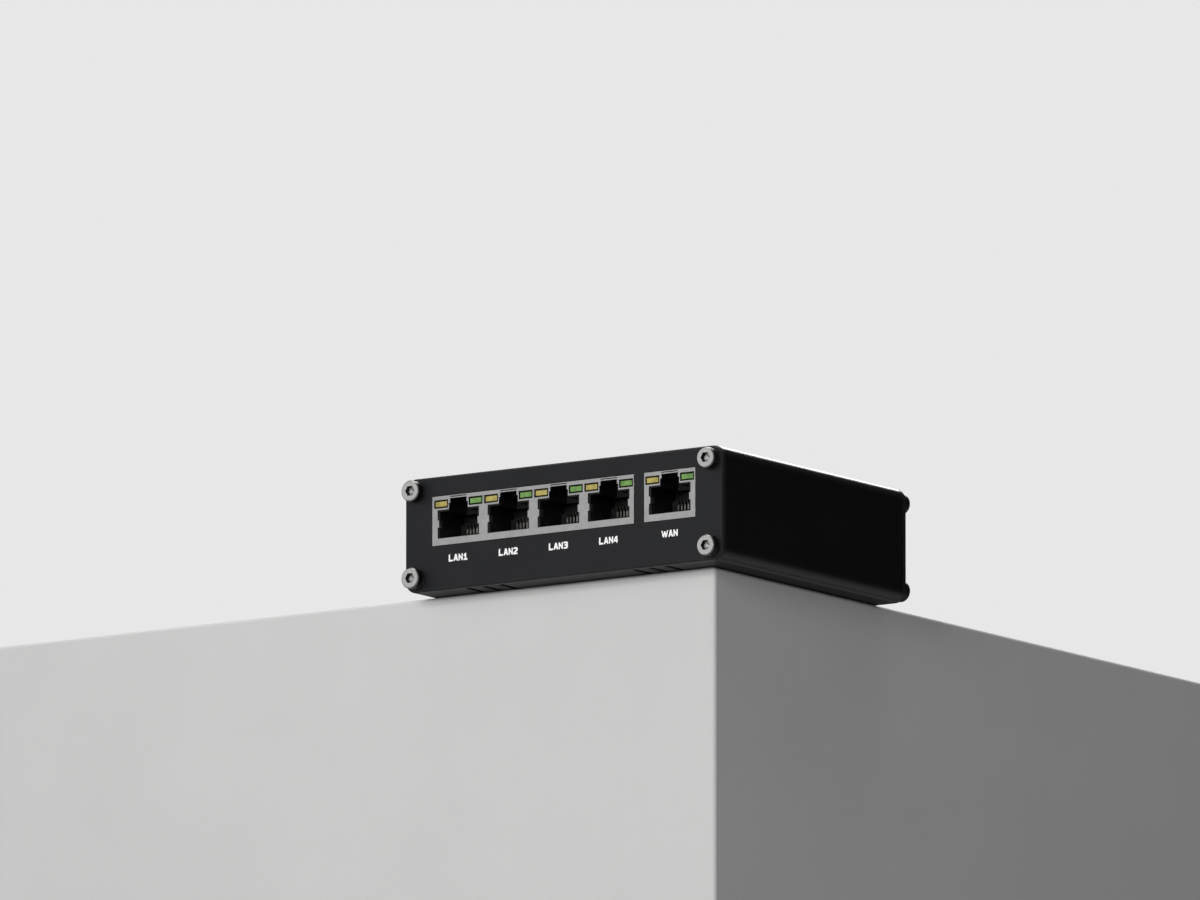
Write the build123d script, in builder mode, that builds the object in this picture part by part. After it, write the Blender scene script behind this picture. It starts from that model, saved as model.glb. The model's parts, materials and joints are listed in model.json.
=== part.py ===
"""Desktop network firewall: extruded sleeve, two flat end panels, five network jacks and a circuit board.

Frame: +Z up, +X to the right seen from the front, front panel facing -Y.
Origin: centre of the sleeve's underside.  Units: millimetres.
"""

from build123d import *
import os

os.makedirs("parts", exist_ok=True)

# ---- Case -------------------------------------------------------------------------------------
case_width = 100.0
case_height = 30.0
case_length = 85.0  # outer face of front panel to outer face of rear panel
corner_radius = 3.2
panel_thickness = 1.5
panel_edge_chamfer = 0.4
wall = 1.8
inner_corner_radius = 1.4

groove_width = 1.6
groove_depth = 0.6
groove_first_x = 21.0
groove_pitch = 5.1
grooves_per_side = 3

# ---- Screws -----------------------------------------------------------------------------------
screw_spacing_x = 93.0
screw_spacing_z = 23.0
screw_head_radius = 2.75
screw_head_height = 3.0
screw_head_chamfer = 0.27
screw_shank_radius = 1.42
screw_length = 10.0
screw_tip_chamfer = 0.4
screw_clearance_radius = 1.7
hex_across_flats = 2.5
hex_depth = 1.5
hex_cone_depth = 0.3
hex_cone_angle = 75
hex_cone_inset = 0.05
knurl_count = 26
knurl_groove_radius = 0.13
knurl_margin = 0.45
boss_radius = 2.75
boss_bore_radius = 1.45

# ---- Circuit board ----------------------------------------------------------------------------
board_thickness = 1.6
board_top = 11.75
board_width = 95.2
board_gap = 0.4  # to each end panel
guide_clearance = 0.05
guide_rib_height = 1.2
guide_rib_reach = 1.8
guide_rib_root = 0.1  # of a rib's width that runs into the wall

# ---- Network jacks ----------------------------------------------------------------------------
jack_bottom = 11.8
jack_height = 12.95
jack_depth = 17.5
jack_pitch = 15.8
lan_left, lan_right = -41.4, 22.1
wan_left, wan_right = 25.35, 41.37
lan_row_shift = 0.15  # of the LAN openings to the right of their shield's middle
shield_gap = 0.2  # between a connector and its opening in the panel
sheet = 0.25
body_gap = 0.05

rim_bottom = 1.8  # shield below the plug opening
mouth_width = 13.1
mouth_height = 7.5
latch_width = 6.0
latch_height = 9.15
notch_width = 5.2
notch_height = 10.36
spring_tab_low, spring_tab_high = 2.9, 4.8
spring_tab_proud = 0.45
spring_tab_depth = 1.2
slit_low, slit_height = 10.66, 0.25

light_offset = 5.45
light_level = 9.05  # window centre above the plug opening's bottom
light_window_width, light_window_height = 4.4, 2.2
lens_width, lens_height, lens_depth = 4.1, 1.9, 6.0
lens_bevel = 0.3
lens_recess = 0.12
lens_play = 0.05

cavity_width = 11.9
cavity_floor = 0.15  # above the plug opening's bottom
cavity_top = 7.1
cavity_depth = 11.4
latch_depth = 8.2
catch_depth = 1.3  # ledge the plug's latch hooks behind
comb_front = 10.0
comb_height = 4.7
step_play = 0.1  # a latch step of the body is this much narrower than the shield's
tab_pocket_play = 0.2

# Slots that take the contacts: one through the cavity's floor and comb, one along the base.
floor_slot_start, floor_slot_low = 2.6, 0.75
base_slot_start, base_slot_top = 2.4, 0.8
slot_over_comb = 0.4
slot_overrun = 0.1

contact_count = 8
contact_pitch = 1.02
contact_width = 0.45
contact_thickness = 0.3
contact_slot = 0.64
contact_root_depth = 3.2  # of the bend the arms spring from, behind the shield's face
contact_root_height = 0.65  # above the jack's bottom
bend_radius = 0.3
arm_gap = 0.03
arm_knee = (9.4, 3.6)  # depth and height of an arm's two bends and its tip
arm_crook = (9.4, 5.4)
arm_tip = (8.7, 6.6)
arm_bend_radius = 0.8
wire_bend_radius = 0.4
tail_rows = (13.0, 15.5)
tail_below_board = 1.2

light_leg_side = 0.45
light_leg_pitch = 1.9
light_leg_depth = 16.4
light_leg_bend_radius = 0.5
light_leg_gap = 0.02  # between a lens and its legs
leg_to_body = 0.1

peg_radius = 1.5
peg_length = 2.4
peg_depth = 9.0
peg_inset = 3.2  # from a jack's side
shield_leg_width = 1.4
shield_leg_length = 2.6
shield_leg_depth = 12.0

# ---- Rear connectors --------------------------------------------------------------------------
power_x = 31.0
power_light_x = 17.0
reset_x = 7.0
usb_x = -12.0

power_width, power_height, power_depth = 9.7, 8.2, 10.0
power_wall = 0.85
power_cavity_depth = 7.6
power_pin_side, power_pin_pitch = 0.64, 3.0
power_key_width, power_key_height = 3.4, 1.1
power_cavity_radius = 0.5
power_pin_play = 0.03
power_pin_tip_depth = 2.0
power_pin_bend_radius = 0.5

usb_width, usb_height, usb_depth = 13.2, 5.8, 14.0
usb_sheet = 0.3
usb_lift = 0.9
usb_opening_radius = 0.8
usb_outer_radius, usb_inner_radius = 0.6, 0.35
usb_tongue_width, usb_tongue_thickness = 11.1, 1.84
usb_contact_pitch = 2.3

switch_body_side, switch_body_depth = 6.2, 3.6
switch_axis_height = 3.6
plunger_radius = 1.7
plunger_play = 0.05
plunger_flange_radius = 2.1
plunger_flange = 0.6
plunger_travel = 0.25
plunger_behind_panel = 0.3
plunger_collar = 0.9  # length of the bore in front of the flange
plunger_end_play = 0.02
plunger_overrun = 0.1  # room behind the flange at full travel
plunger_tip_chamfer = 0.3
switch_edge_chamfer = 0.3
switch_leg_width, switch_leg_thickness = 0.5, 0.3
switch_leg_play = 0.03
switch_leg_insert, switch_leg_slot = 0.45, 0.5
reset_hole_radius = 0.9

power_lens_radius = 1.45
panel_hole_gap = 0.1

# ---- Derived places ---------------------------------------------------------------------------
half_length = case_length / 2
mid_height = case_height / 2
sleeve_length = case_length - 2 * panel_thickness
board_bottom = board_top - board_thickness
board_length = sleeve_length - 2 * board_gap
mouth_bottom = jack_bottom + rim_bottom
lan_middle = (lan_left + lan_right) / 2 + lan_row_shift
lan_centres = [lan_middle + (port - 1.5) * jack_pitch for port in range(4)]
wan_centre = (wan_left + wan_right) / 2
port_centres = lan_centres + [wan_centre]

# Sketch planes whose local X is along the case's width and local Y is up.
front_face = Plane.XZ.offset(half_length)
rear_face = Plane(origin=(0, half_length, 0), x_dir=(-1, 0, 0), z_dir=(0, 1, 0))
on_board = Plane.XY.offset(board_top)


def behind_front(depth):
    """The plane that stands this far behind the front panel's outer face, facing forward."""
    return front_face.offset(-depth)


def before_rear(depth):
    """The plane that stands this far in front of the rear panel's outer face, facing back."""
    return rear_face.offset(-depth)


def save(part, label):
    part.label = label
    export_step(part, f"parts/{label}.step")


# ---- Housing: an extruded sleeve with screw bosses, board guides and grooves underneath -------
groove_places = [
    (side * (groove_first_x + step * groove_pitch), groove_depth / 2)
    for side in (-1, 1)
    for step in range(grooves_per_side)
]
guide_levels = [
    board_bottom - guide_clearance - guide_rib_height / 2,
    board_top + guide_clearance + guide_rib_height / 2,
]
guide_rib_width = guide_rib_reach + guide_rib_root
guide_x = case_width / 2 - wall + guide_rib_root - guide_rib_width / 2

with BuildPart() as housing:
    with BuildSketch(behind_front(panel_thickness)):
        with Locations((0, mid_height)):
            RectangleRounded(case_width, case_height, corner_radius)
            RectangleRounded(
                case_width - 2 * wall, case_height - 2 * wall, inner_corner_radius, mode=Mode.SUBTRACT
            )
            with GridLocations(screw_spacing_x, screw_spacing_z, 2, 2):
                Circle(boss_radius)
                Circle(boss_bore_radius, mode=Mode.SUBTRACT)
        for level in guide_levels:
            with Locations((-guide_x, level), (guide_x, level)):
                Rectangle(guide_rib_width, guide_rib_height)
        with Locations(*groove_places):
            Rectangle(groove_width, groove_depth, mode=Mode.SUBTRACT)
    extrude(amount=-sleeve_length)
save(housing.part, "housing")

# ---- End panels -------------------------------------------------------------------------------
def end_panel(face, openings):
    """A rounded plate with a chamfered outer edge and four screw holes, pierced by the openings."""
    outward = Axis(face.origin, face.z_dir)
    with BuildPart() as panel:
        with BuildSketch(face):
            with Locations((0, mid_height)):
                RectangleRounded(case_width, case_height, corner_radius)
                with GridLocations(screw_spacing_x, screw_spacing_z, 2, 2):
                    Circle(screw_clearance_radius, mode=Mode.SUBTRACT)
        extrude(amount=-panel_thickness)
        outer_face = panel.faces().sort_by(outward)[-1]
        chamfer(outer_face.outer_wire().edges(), length=panel_edge_chamfer)
        extrude(openings, amount=-panel_thickness, mode=Mode.SUBTRACT)
    return panel.part


with BuildSketch(front_face) as front_openings:
    for left, right in ((lan_left, lan_right), (wan_left, wan_right)):
        with Locations(((left + right) / 2, jack_bottom + jack_height / 2)):
            Rectangle(right - left + 2 * shield_gap, jack_height + 2 * shield_gap)
save(end_panel(front_face, front_openings.sketch), "front_panel")

power_level = board_top + power_height / 2
usb_level = board_top + usb_lift + usb_height / 2
switch_level = board_top + switch_axis_height

with BuildSketch(rear_face) as rear_openings:
    with Locations((-power_x, power_level)):
        Rectangle(power_width + 2 * shield_gap, power_height + 2 * shield_gap)
    with Locations((-usb_x, usb_level)):
        RectangleRounded(usb_width + 2 * shield_gap, usb_height + 2 * shield_gap, usb_opening_radius)
    with Locations((-reset_x, switch_level)):
        Circle(reset_hole_radius)
    with Locations((-power_light_x, switch_level)):
        Circle(power_lens_radius + panel_hole_gap)
save(end_panel(rear_face, rear_openings.sketch), "rear_panel")


# ---- Hex-socket cap screws --------------------------------------------------------------------
def screw_places():
    """The four screw centres of an end panel, as sketch locations."""
    x, z = screw_spacing_x / 2, screw_spacing_z / 2
    return Locations(*[(side * x, mid_height + level * z) for side in (-1, 1) for level in (-1, 1)])


def cap_screws(face):
    outward = Axis(face.origin, face.z_dir)
    with BuildPart() as screws:
        with BuildSketch(face):
            with screw_places():
                Circle(screw_head_radius)
        extrude(amount=screw_head_height)
        head_tops = screws.faces().filter_by(outward).group_by(outward)[-1]
        chamfer(head_tops.edges(), length=screw_head_chamfer)
        with BuildSketch(face.offset(knurl_margin)):
            with screw_places():
                with PolarLocations(screw_head_radius, knurl_count):
                    Circle(knurl_groove_radius)
        extrude(amount=screw_head_height - 2 * knurl_margin, mode=Mode.SUBTRACT)
        with BuildSketch(face):
            with screw_places():
                Circle(screw_shank_radius)
        extrude(amount=-screw_length)
        tips = screws.faces().filter_by(outward).group_by(outward)[0]
        chamfer(tips.edges(), length=screw_tip_chamfer)
        with BuildSketch(face.offset(screw_head_height)):
            with screw_places():
                RegularPolygon(hex_across_flats / 2, 6, major_radius=False)
        extrude(amount=-hex_depth, mode=Mode.SUBTRACT)
        with BuildSketch(face.offset(screw_head_height - hex_depth)):
            with screw_places():
                Circle(hex_across_flats / 2 - hex_cone_inset)
        extrude(amount=-hex_cone_depth, taper=hex_cone_angle, mode=Mode.SUBTRACT)
    return screws.part


save(cap_screws(front_face), "front_screws")
save(cap_screws(rear_face), "rear_screws")


# ---- Jack shields: folded sheet metal, one round the four LAN jacks and one round the WAN jack -
def light_places(centres, sides=(-1, 1)):
    """Centres of the status windows on the given sides of each port, left (-1) or right (1)."""
    level = mouth_bottom + light_level
    return [(centre + side * light_offset, level) for centre in centres for side in sides]


def mouth_outline(centre):
    """The plug opening in the shield's face: stepped at the top for the plug's latch."""
    half, latch, notch = mouth_width / 2, latch_width / 2, notch_width / 2
    tab = half - spring_tab_proud
    right_side = [
        (half, 0),
        (half, spring_tab_low),
        (tab, spring_tab_low),
        (tab, spring_tab_high),
        (half, spring_tab_high),
        (half, mouth_height),
        (latch, mouth_height),
        (latch, latch_height),
        (notch, latch_height),
        (notch, notch_height),
    ]
    left_side = [(-x, z) for x, z in reversed(right_side)]
    return [(centre + x, mouth_bottom + z) for x, z in right_side + left_side]


def jack_shield(centres, left, right):
    middle, width = (left + right) / 2, right - left
    tab_middle = mouth_bottom + (spring_tab_low + spring_tab_high) / 2
    tab_x = mouth_width / 2 - spring_tab_proud + sheet / 2
    with BuildPart() as shield:
        with BuildSketch(on_board.offset(jack_bottom - board_top)):
            with Locations((middle, jack_depth / 2 - half_length)):
                Rectangle(width, jack_depth)
        extrude(amount=jack_height)
        with BuildSketch(on_board.offset(jack_bottom - board_top)):
            with Locations((middle, jack_depth / 2 - half_length)):
                Rectangle(width - 2 * sheet, jack_depth - 2 * sheet)
        extrude(amount=jack_height - sheet, mode=Mode.SUBTRACT)
        with BuildSketch(front_face):
            for centre in centres:
                with BuildLine():
                    Polyline(*mouth_outline(centre), close=True)
                make_face()
                with Locations((centre, mouth_bottom + slit_low + slit_height / 2)):
                    Rectangle(notch_width, slit_height)
            with Locations(*light_places(centres)):
                Rectangle(light_window_width, light_window_height)
        extrude(amount=-sheet, mode=Mode.SUBTRACT)
        with BuildSketch(front_face):
            for centre in centres:
                with Locations((centre - tab_x, tab_middle), (centre + tab_x, tab_middle)):
                    Rectangle(sheet, spring_tab_high - spring_tab_low)
        extrude(amount=-spring_tab_depth)
        with BuildSketch(on_board.offset(jack_bottom - board_top)):
            leg_y = shield_leg_depth - half_length
            with Locations((left + sheet / 2, leg_y), (right - sheet / 2, leg_y)):
                Rectangle(sheet, shield_leg_width)
        extrude(amount=-shield_leg_length)
    return shield.part


save(jack_shield(lan_centres, lan_left, lan_right), "lan_shield")
save(jack_shield([wan_centre], wan_left, wan_right), "wan_shield")


# ---- Jack bodies: the moulded insides that guide the plug and hold the contacts ----------------
body_back = light_leg_depth - light_leg_side - leg_to_body
contact_offsets = [(wire - (contact_count - 1) / 2) * contact_pitch for wire in range(contact_count)]


def peg_places(left, right):
    """Locating pegs near both ends of a jack, on the board."""
    peg_y = peg_depth - half_length
    return [(left + peg_inset, peg_y), (right - peg_inset, peg_y)]


def slot_cut(centres, depth_from, depth_to, height_from, height_to):
    """Cuts an upright slot at every contact, between two depths and two heights of the jack."""
    with BuildSketch(on_board.offset(height_from + jack_bottom - board_top)) as slots:
        for centre in centres:
            places = [(centre + x, (depth_from + depth_to) / 2 - half_length) for x in contact_offsets]
            with Locations(*places):
                Rectangle(contact_slot, depth_to - depth_from)
    extrude(slots.sketch, amount=height_to - height_from, mode=Mode.SUBTRACT)


def jack_body(centres, left, right):
    front = inside = sheet + body_gap
    cavity_level = mouth_bottom + (cavity_floor + cavity_top) / 2
    latch_level = mouth_bottom + (cavity_top + latch_height) / 2
    notch_level = mouth_bottom + (latch_height + notch_height) / 2
    tab_level = mouth_bottom + (spring_tab_low + spring_tab_high) / 2
    comb_low = mouth_bottom + cavity_floor
    with BuildPart() as body:
        with BuildSketch(on_board.offset(jack_bottom + body_gap - board_top)):
            with Locations(((left + right) / 2, (front + body_back) / 2 - half_length)):
                Rectangle(right - left - 2 * inside, body_back - front)
        extrude(amount=jack_height - inside - body_gap)
        # plug cavities, then the shallower steps for the plug's latch
        with BuildSketch(behind_front(front)):
            for centre in centres:
                with Locations((centre, cavity_level)):
                    Rectangle(cavity_width, cavity_top - cavity_floor)
        extrude(amount=front - cavity_depth, mode=Mode.SUBTRACT)
        with BuildSketch(behind_front(front)):
            for centre in centres:
                with Locations((centre, latch_level)):
                    Rectangle(latch_width - step_play, latch_height - cavity_top)
        extrude(amount=front - latch_depth, mode=Mode.SUBTRACT)
        with BuildSketch(behind_front(front)):
            for centre in centres:
                with Locations((centre, notch_level)):
                    Rectangle(notch_width - step_play, notch_height - latch_height)
        extrude(amount=front - latch_depth, mode=Mode.SUBTRACT)
        with BuildSketch(behind_front(catch_depth + front)):
            for centre in centres:
                with Locations((centre, notch_level)):
                    Rectangle(latch_width - step_play, notch_height - latch_height)
        extrude(amount=front + catch_depth - latch_depth, mode=Mode.SUBTRACT)
        # pockets for the shield's spring tabs
        with BuildSketch(behind_front(front)):
            for centre in centres:
                with Locations((centre, tab_level)):
                    Rectangle(mouth_width, spring_tab_high - spring_tab_low + 2 * tab_pocket_play)
        extrude(amount=front - spring_tab_depth - 2 * tab_pocket_play, mode=Mode.SUBTRACT)
        # through pockets for the status lights and their legs
        with BuildSketch(behind_front(front)):
            with Locations(*light_places(centres)):
                Rectangle(lens_width + 2 * lens_play, lens_height + 2 * lens_play)
        extrude(amount=front - body_back, mode=Mode.SUBTRACT)
        # comb at the back of each cavity
        with BuildSketch(behind_front(comb_front)):
            for centre in centres:
                with Locations((centre, comb_low + comb_height / 2)):
                    Rectangle(cavity_width, comb_height)
        extrude(amount=comb_front - cavity_depth)
        floor_slot_high = rim_bottom + comb_height + slot_over_comb
        slot_cut(centres, floor_slot_start, cavity_depth + slot_overrun, floor_slot_low, floor_slot_high)
        slot_cut(centres, base_slot_start, body_back, body_gap, base_slot_top)
        with BuildSketch(on_board.offset(jack_bottom + body_gap - board_top)):
            with Locations(*peg_places(left, right)):
                Circle(peg_radius)
        extrude(amount=-peg_length)
    return body.part


save(jack_body(lan_centres, lan_left, lan_right), "lan_jack_body")
save(jack_body([wan_centre], wan_left, wan_right), "wan_jack_body")


# ---- Contacts: each wire is a fixed tail bent up at the front, and a sprung arm that slopes back --
def wire_planes(offsets):
    return [Plane.YZ.offset(x) for x in offsets]


def beside(depth, height):
    """A point in a jack's side view, from depth behind the shield's face and height above its base."""
    return (depth - half_length, jack_bottom + height)


def contact_arms(centre):
    """The eight sprung arms of one jack, resting at their free height."""
    root = beside(contact_root_depth + arm_gap, contact_root_height + bend_radius)
    with BuildPart() as arms:
        with BuildSketch(*wire_planes([centre + x for x in contact_offsets])):
            with BuildLine() as path:
                FilletPolyline(
                    root, beside(*arm_knee), beside(*arm_crook), beside(*arm_tip), radius=arm_bend_radius
                )
            trace(path.line, line_width=contact_thickness)
        extrude(amount=contact_width / 2, both=True)
    return arms.part


def contact_tails(centres):
    """The fixed part of every wire: bend, run along the base, and solder tail through the board."""
    low = beside(0, contact_root_height - bend_radius)[1]
    bend_y = contact_root_depth - half_length
    with BuildPart() as tails:
        for row, depth in enumerate(tail_rows):
            offsets = [centre + x for centre in centres for x in contact_offsets[row::2]]
            foot = (depth - half_length, board_bottom - tail_below_board)
            with BuildSketch(*wire_planes(offsets)):
                with BuildLine() as path:
                    CenterArc((bend_y, low + bend_radius), bend_radius, 90, 180)
                    FilletPolyline((bend_y, low), (foot[0], low), foot, radius=wire_bend_radius)
                trace(path.line, line_width=contact_thickness)
            extrude(amount=contact_width / 2, both=True)
    return tails.part


for number, centre in enumerate(lan_centres, start=1):
    save(contact_arms(centre), f"lan{number}_contacts")
save(contact_arms(wan_centre), "wan_contacts")
save(contact_tails(lan_centres), "lan_contact_tails")
save(contact_tails([wan_centre]), "wan_contact_tails")


# ---- Status lights: a moulded lens at each window and two legs behind it down to the board ------
def light_lenses(centres, side):
    with BuildPart() as lenses:
        with BuildSketch(behind_front(lens_recess)):
            with Locations(*light_places(centres, (side,))):
                Rectangle(lens_width, lens_height)
        extrude(amount=-lens_depth)
        chamfer(lenses.faces().sort_by(Axis.Y).group_by(Axis.Y)[0].edges(), length=lens_bevel)
    return lenses.part


def light_leg_places(centres):
    half = light_leg_pitch / 2
    return [x + offset for x, _ in light_places(centres) for offset in (-half, half)]


def light_legs(centres):
    start = lens_recess + lens_depth + light_leg_gap
    level = rim_bottom + light_level
    foot_height = board_bottom - jack_bottom - tail_below_board
    with BuildPart() as legs:
        with BuildSketch(*wire_planes(light_leg_places(centres))):
            with BuildLine() as path:
                FilletPolyline(
                    beside(start, level),
                    beside(light_leg_depth, level),
                    beside(light_leg_depth, foot_height),
                    radius=light_leg_bend_radius,
                )
            trace(path.line, line_width=light_leg_side)
        extrude(amount=light_leg_side / 2, both=True)
    return legs.part


save(light_lenses(lan_centres, -1), "lan_yellow_lights")
save(light_lenses(lan_centres, 1), "lan_green_lights")
save(light_lenses([wan_centre], -1), "wan_yellow_light")
save(light_lenses([wan_centre], 1), "wan_green_light")
save(light_legs(lan_centres), "lan_light_legs")
save(light_legs([wan_centre]), "wan_light_legs")


# ---- Circuit board ----------------------------------------------------------------------------
power_pin_rows = (power_depth + 1.2, power_depth + 3.9)  # behind the rear panel's outer face
power_pin_columns = [power_x + side * power_pin_pitch / 2 for side in (-1, 1)]
usb_contact_columns = [usb_x + (wire - 1.5) * usb_contact_pitch for wire in range(4)]
usb_tail_depth = usb_depth + 1.4
usb_leg_depth = 8.0
usb_leg_x = usb_width / 2 - usb_sheet / 2
switch_front_depth = panel_thickness + 2.1
switch_leg_depth = switch_front_depth + switch_body_depth / 2
switch_leg_x = 2.5
tail_hole_radius = 0.45
power_hole_radius = 0.57
peg_hole_gap = 0.1
leg_slot_width, leg_slot_length = 0.7, 1.8


def from_front(x, depth):
    return (x, depth - half_length)


def from_rear(x, depth):
    return (x, half_length - depth)


contact_holes = [
    from_front(centre + x, depth)
    for centre in port_centres
    for row, depth in enumerate(tail_rows)
    for x in contact_offsets[row::2]
]
light_holes = [from_front(x, light_leg_depth) for x in light_leg_places(port_centres)]
power_holes = [from_rear(x, depth) for x in power_pin_columns for depth in power_pin_rows]
usb_holes = [from_rear(x, usb_tail_depth) for x in usb_contact_columns]
switch_holes = [from_rear(reset_x + side * switch_leg_x, switch_leg_depth) for side in (-1, 1)]
shield_slots = [
    from_front(x, shield_leg_depth)
    for x in (lan_left + sheet / 2, lan_right - sheet / 2, wan_left + sheet / 2, wan_right - sheet / 2)
]
usb_slots = [from_rear(usb_x + side * usb_leg_x, usb_leg_depth) for side in (-1, 1)]

with BuildPart() as main_pcb:
    with BuildSketch(Plane.XY.offset(board_bottom)):
        Rectangle(board_width, board_length)
        with Locations(*contact_holes, *light_holes, *usb_holes, *switch_holes):
            Circle(tail_hole_radius, mode=Mode.SUBTRACT)
        with Locations(*power_holes):
            Circle(power_hole_radius, mode=Mode.SUBTRACT)
        with Locations(*peg_places(lan_left, lan_right), *peg_places(wan_left, wan_right)):
            Circle(peg_radius + peg_hole_gap, mode=Mode.SUBTRACT)
        with Locations(*shield_slots, *usb_slots):
            Rectangle(leg_slot_width, leg_slot_length, mode=Mode.SUBTRACT)
    extrude(amount=board_thickness)
save(main_pcb.part, "main_pcb")


# ---- Board components -------------------------------------------------------------------------
# Places are package centres on the board; sizes are width, length and height.
package_edge = 0.15
transformer_size, transformer_edge = (12.6, 7.0, 5.4), 0.3
transformer_places = [(centre, -17.0) for centre in port_centres]
switch_chip_place, switch_chip_size = (-15.0, -1.0), (14.0, 14.0, 1.2)
processor_place, processor_size = (9.0, -1.0), (15.0, 15.0, 1.4)
memory_place, memory_size = (28.0, -2.0), (13.0, 9.0, 1.1)
flash_place, regulator_place = (9.0, 15.0), (31.0, 13.0)
small_chip_size = (5.0, 5.0, 1.7)
crystal_places, crystal_size, crystal_edge = [(-27.5, -3.0), (-1.5, 13.0)], (3.2, 5.0, 1.1), 0.2
inductor_places, inductor_size, inductor_edge = [(21.5, 13.0), (-24.0, 14.0)], (7.4, 7.4, 4.2), 0.8
diode_place, diode_size, diode_edge = (36.5, 24.0), (3.6, 4.6, 2.3), 0.3

capacitor_places = [(41.0, 1.0), (41.0, 12.0), (22.0, 23.0)]
capacitor_radius, capacitor_height, capacitor_rim_radius = 4.0, 11.0, 0.5

ceramic_size, ceramic_edge = (0.8, 1.6, 0.8), 0.1
ceramic_steps = [-5.2, -2.6, 0.0, 2.6, 5.2]
ceramic_rows = [(-15.0, -10.2), (-15.0, 8.4), (9.0, -10.2), (9.0, 8.4), (28.0, 5.2)]
resistor_size, resistor_edge = (0.8, 1.6, 0.45), 0.05
resistor_steps = [-3.0, -1.0, 1.0, 3.0]
resistor_rows = [(-33.6, -11.4), (32.0, -11.4)]
pull_up_x, pull_up_levels = -36.0, [0.0, 2.6, 5.2, 7.8]

pin_pitch = 1.27
pin_foot, pin_sheet, pin_width = 0.7, 0.2, 0.42
pin_waist, pin_reach = 0.9, 0.55  # height of a pin's root above the board, and its run outwards
pin_bend_radius = 0.2
pin_gap = 0.02  # between a pin and the package beside it


def blocks(places, size, edge=package_edge):
    """Moulded packages of one size on the board, with softened upper edges."""
    width, length, height = size
    with BuildPart() as packages:
        with BuildSketch(on_board.offset(body_gap)):
            with Locations(*places):
                Rectangle(width, length)
        extrude(amount=height)
        chamfer(packages.faces().group_by(Axis.Z)[-1].edges(), length=edge)
    return packages.part


save(blocks(transformer_places, transformer_size, transformer_edge), "network_transformers")
save(blocks([switch_chip_place], switch_chip_size), "switch_chip")
save(blocks([processor_place], processor_size), "processor")
save(blocks([memory_place], memory_size), "memory_chip")
save(blocks([flash_place], small_chip_size), "flash_chip")
save(blocks([regulator_place], small_chip_size), "regulator_chip")
save(blocks(crystal_places, crystal_size, crystal_edge), "clock_crystals")
save(blocks(inductor_places, inductor_size, inductor_edge), "power_inductors")
save(blocks([diode_place], diode_size, diode_edge), "surge_diode")


def gull_wing_pins(places, body_length, count):
    """Bent pins along both long sides of each package, from its waist down to the board."""
    root = body_length / 2 + pin_gap
    knee = root + pin_reach
    waist_level, foot_level = board_top + pin_waist, board_top + (pin_sheet + pin_gap) / 2
    offsets = [(pin - (count - 1) / 2) * pin_pitch for pin in range(count)]
    with BuildPart() as pins:
        for x, y in places:
            for side in (-1, 1):
                with BuildSketch(*wire_planes([x + offset for offset in offsets])):
                    with BuildLine() as path:
                        FilletPolyline(
                            (y + side * root, waist_level),
                            (y + side * knee, waist_level),
                            (y + side * knee, foot_level),
                            (y + side * (knee + pin_foot), foot_level),
                            radius=pin_bend_radius,
                        )
                    trace(path.line, line_width=pin_sheet)
                extrude(amount=pin_width / 2, both=True)
    return pins.part


save(gull_wing_pins(transformer_places, transformer_size[1], 8), "transformer_pins")
save(gull_wing_pins([flash_place, regulator_place], small_chip_size[1], 4), "chip_pins")

with BuildPart() as power_capacitors:
    with BuildSketch(on_board.offset(body_gap)):
        with Locations(*capacitor_places):
            Circle(capacitor_radius)
    extrude(amount=capacitor_height)
    fillet(power_capacitors.faces().filter_by(Axis.Z).edges(), radius=capacitor_rim_radius)
save(power_capacitors.part, "power_capacitors")

ceramic_places = [(x + step, y) for x, y in ceramic_rows for step in ceramic_steps]
resistor_places = [(x + step, y) for x, y in resistor_rows for step in resistor_steps]
resistor_places += [(pull_up_x, y) for y in pull_up_levels]
save(blocks(ceramic_places, ceramic_size, ceramic_edge), "ceramic_capacitors")
save(blocks(resistor_places, resistor_size, resistor_edge), "resistors")

# ---- Power socket: a four-pole keyed header, flush with the rear panel --------------------------
power_pin_hole = power_pin_side + 2 * power_pin_play
power_pin_levels = [power_level - power_pin_pitch / 2, power_level + power_pin_pitch / 2]

with BuildPart() as power_socket:
    with BuildSketch(rear_face):
        with Locations((-power_x, power_level + body_gap / 2)):
            Rectangle(power_width, power_height - body_gap)
    extrude(amount=-power_depth)
    with BuildSketch(rear_face):
        with Locations((-power_x, power_level)):
            RectangleRounded(
                power_width - 2 * power_wall, power_height - 2 * power_wall, power_cavity_radius
            )
        with Locations((-power_x, power_level + power_height / 2 - power_wall)):
            Rectangle(power_key_width, power_key_height)
    extrude(amount=-power_cavity_depth, mode=Mode.SUBTRACT)
    with BuildSketch(before_rear(power_cavity_depth)):
        with Locations((-power_x, power_level)):
            with GridLocations(power_pin_pitch, power_pin_pitch, 2, 2):
                Rectangle(power_pin_hole, power_pin_hole)
    extrude(amount=power_cavity_depth - power_depth, mode=Mode.SUBTRACT)
save(power_socket.part, "power_socket")

with BuildPart() as power_pins:
    for level, foot_depth in zip(power_pin_levels, power_pin_rows):
        foot_y = half_length - foot_depth
        with BuildSketch(*wire_planes(power_pin_columns)):
            with BuildLine() as pin_path:
                FilletPolyline(
                    (half_length - power_pin_tip_depth, level),
                    (foot_y, level),
                    (foot_y, board_bottom - tail_below_board),
                    radius=power_pin_bend_radius,
                )
            trace(pin_path.line, line_width=power_pin_side)
        extrude(amount=power_pin_side / 2, both=True)
save(power_pins.part, "power_pins")

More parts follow.
